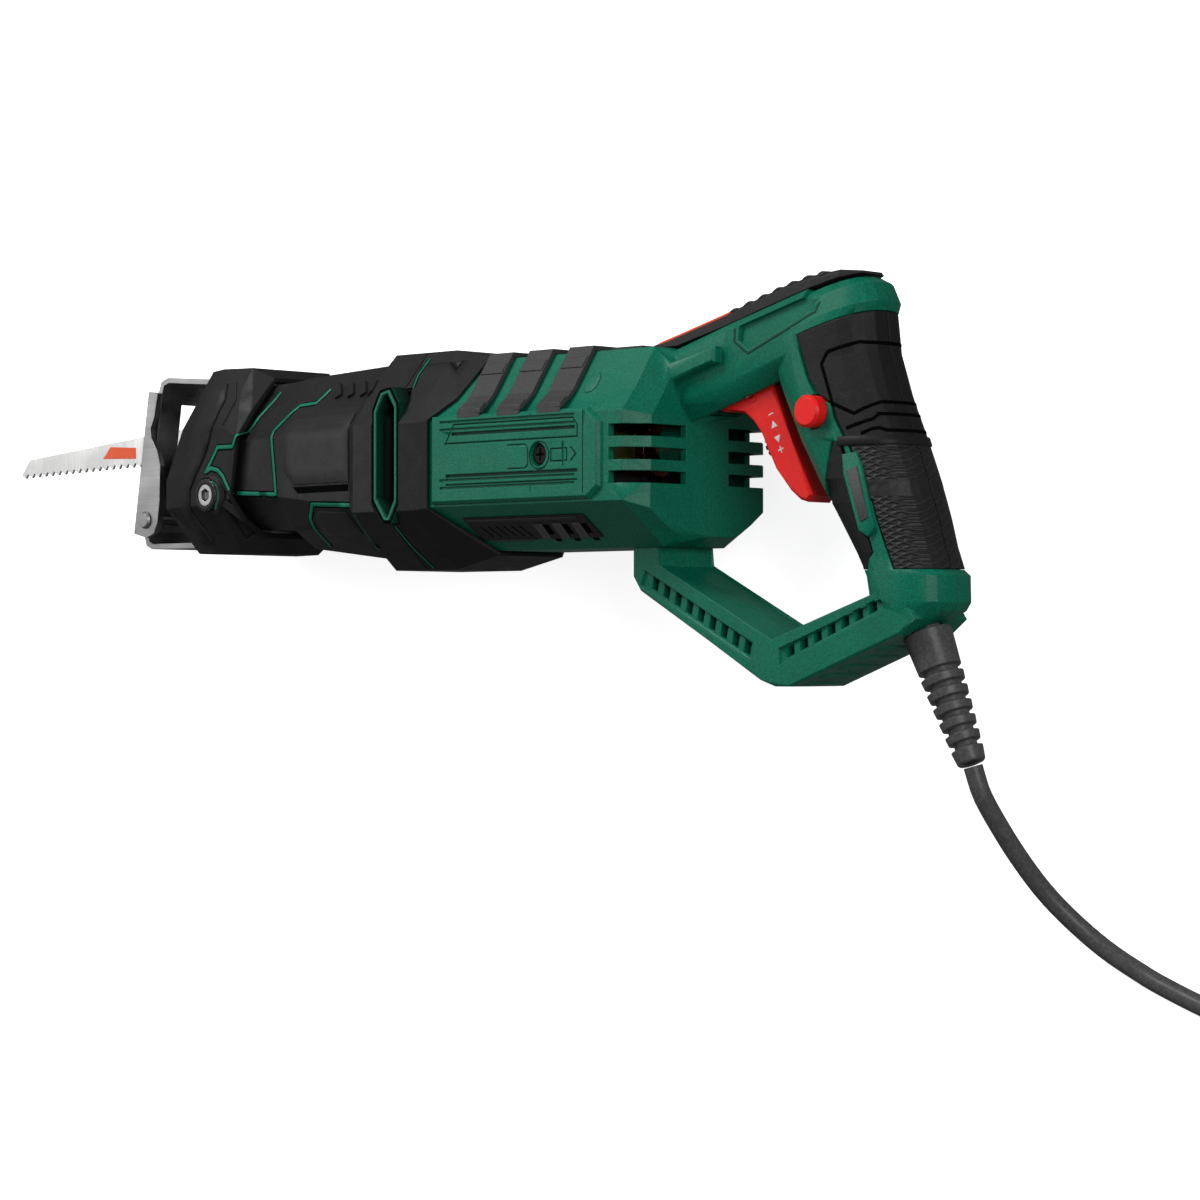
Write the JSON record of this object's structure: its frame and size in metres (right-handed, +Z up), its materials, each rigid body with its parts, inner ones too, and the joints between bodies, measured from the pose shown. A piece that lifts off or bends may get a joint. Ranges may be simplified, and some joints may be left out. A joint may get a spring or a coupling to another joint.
{
  "type": "reciprocating saw",
  "caption": "Corded reciprocating saw on its side: toothed blade, tilting shoe, motor and crank drive, closed D-handle with trigger, speed dial and lock button, power cord coiled beside it.",
  "frame": {"origin": "centre of the bounding box of the tool without its cord, on the floor under its right side", "axes": "+X from the blade back to the handle, +Y towards the top of the tool, +Z up, out of its left side"},
  "size_m": [0.7631, 0.2886, 0.084],
  "materials": {
    "green_housing": "satin",
    "black_cover": "satin",
    "black_rubber": "matte",
    "red_control": "satin",
    "bright_steel": "satin",
    "blade_steel": "satin",
    "bearing_steel": "polished",
    "aluminium_casting": "cast",
    "copper_winding": "lacquered",
    "brass_fitting": "satin",
    "iron_core": "matte",
    "black_part": "matte",
    "carbon": "matte",
    "cable_jacket": "gloss"
  },
  "bodies": {
    "saw": {"housing_left": "green_housing", "housing_right": "green_housing", "slot_frame_left": "green_housing", "slot_frame_right": "green_housing", "front_cover_left": "black_cover", "front_cover_right": "black_cover", "motor_saddle": "black_cover", "arm_pad": "black_cover", "side_inlay_left": "black_cover", "side_inlay_right": "black_cover", "nose_boot": "black_rubber", "bumper_collar": "black_rubber", "grip_pad_upper_left": "black_rubber", "grip_pad_upper_right": "black_rubber", "grip_pad_rear_left": "black_rubber", "grip_pad_rear_right": "black_rubber", "grip_pad_front_left": "black_rubber", "grip_pad_front_right": "black_rubber", "cable_sleeve": "black_rubber", "shoe_bolt": "bright_steel", "trigger_pin": "bright_steel", "trigger_spring": "bright_steel", "housing_screw_left": "bright_steel", "plug_pin_1": "bright_steel", "plug_pin_2": "bright_steel", "bearing_front": "bearing_steel", "bearing_rear": "bearing_steel", "gearbox_case": "aluminium_casting", "gearbox_cover": "aluminium_casting", "field_coil_upper": "copper_winding", "field_coil_lower": "copper_winding", "bush_front": "brass_fitting", "bush_rear": "brass_fitting", "brush_holder_left": "brass_fitting", "brush_holder_right": "brass_fitting", "stator_core": "iron_core", "switch_body": "black_part", "plug_body": "black_part", "carbon_brush_left": "carbon", "carbon_brush_right": "carbon", "cord_tube": "cable_jacket", "cord_coil": "cable_jacket"},
    "plunger": {"plunger": "bright_steel", "blade_clamp": "bright_steel", "saw_blade": "blade_steel"},
    "collar": {"clamp_collar": "black_part"},
    "armature": {"armature_shaft": "bright_steel", "armature_core": "iron_core", "commutator": "copper_winding", "cooling_fan": "black_part", "pinion": "bright_steel"},
    "gear": {"drive_gear": "bright_steel", "crank_roller": "bright_steel", "gear_shaft": "bright_steel"},
    "trigger": {"trigger": "red_control"},
    "dial": {"speed_dial": "black_part"},
    "lock": {"lock_button": "red_control"},
    "bracket": {"shoe_bracket": "bright_steel", "shoe_pin": "bright_steel"},
    "shoe": {"shoe_plate": "bright_steel"}
  },
  "joints": [
    {"name": "plunger_slide", "type": "slide", "parent": "saw", "child": "plunger", "axis": [1, 0, 0], "range_m": [-0.01, 0.01]},
    {"name": "collar_turn", "type": "hinge", "parent": "plunger", "child": "collar", "pos_m": [-0.11625, 0.0265, 0.042], "axis": [1, 0, 0], "range_deg": [0, 80], "stiffness_Nm_per_rad": 0.05, "springref_deg": -17.19},
    {"name": "armature_spin", "type": "hinge", "parent": "saw", "child": "armature", "pos_m": [0.09875, 0.0145, 0.042], "axis": [1, 0, 0], "continuous": true},
    {"name": "gear_spin", "type": "hinge", "parent": "saw", "child": "gear", "pos_m": [0.01875, 0.0045, 0.042], "axis": [0, 1, 0], "continuous": true},
    {"name": "trigger_swing", "type": "hinge", "parent": "saw", "child": "trigger", "pos_m": [0.18325, 0.0335, 0.042], "axis": [0, 0, 1], "range_deg": [0, 8], "stiffness_Nm_per_rad": 0.5, "springref_deg": -5.73},
    {"name": "dial_turn", "type": "hinge", "parent": "trigger", "child": "dial", "pos_m": [0.19455, 0.0155, 0.042], "axis": [0, 0, 1], "range_deg": [0, 270]},
    {"name": "lock_press", "type": "slide", "parent": "saw", "child": "lock", "axis": [0, 0, -1], "range_m": [0, 0.003], "stiffness_N_per_m": 600, "springref_m": -0.002},
    {"name": "shoe_slide", "type": "slide", "parent": "saw", "child": "bracket", "axis": [-1, 0, 0], "range_m": [0, 0.012]},
    {"name": "shoe_tilt", "type": "hinge", "parent": "bracket", "child": "shoe", "pos_m": [-0.15625, -0.006, 0.042], "axis": [0, 0, 1], "range_deg": [0, 15]}
  ],
  "couplings": [
    {"joint": "gear_spin", "follows": "armature_spin", "ratio": 0.2}
  ]
}
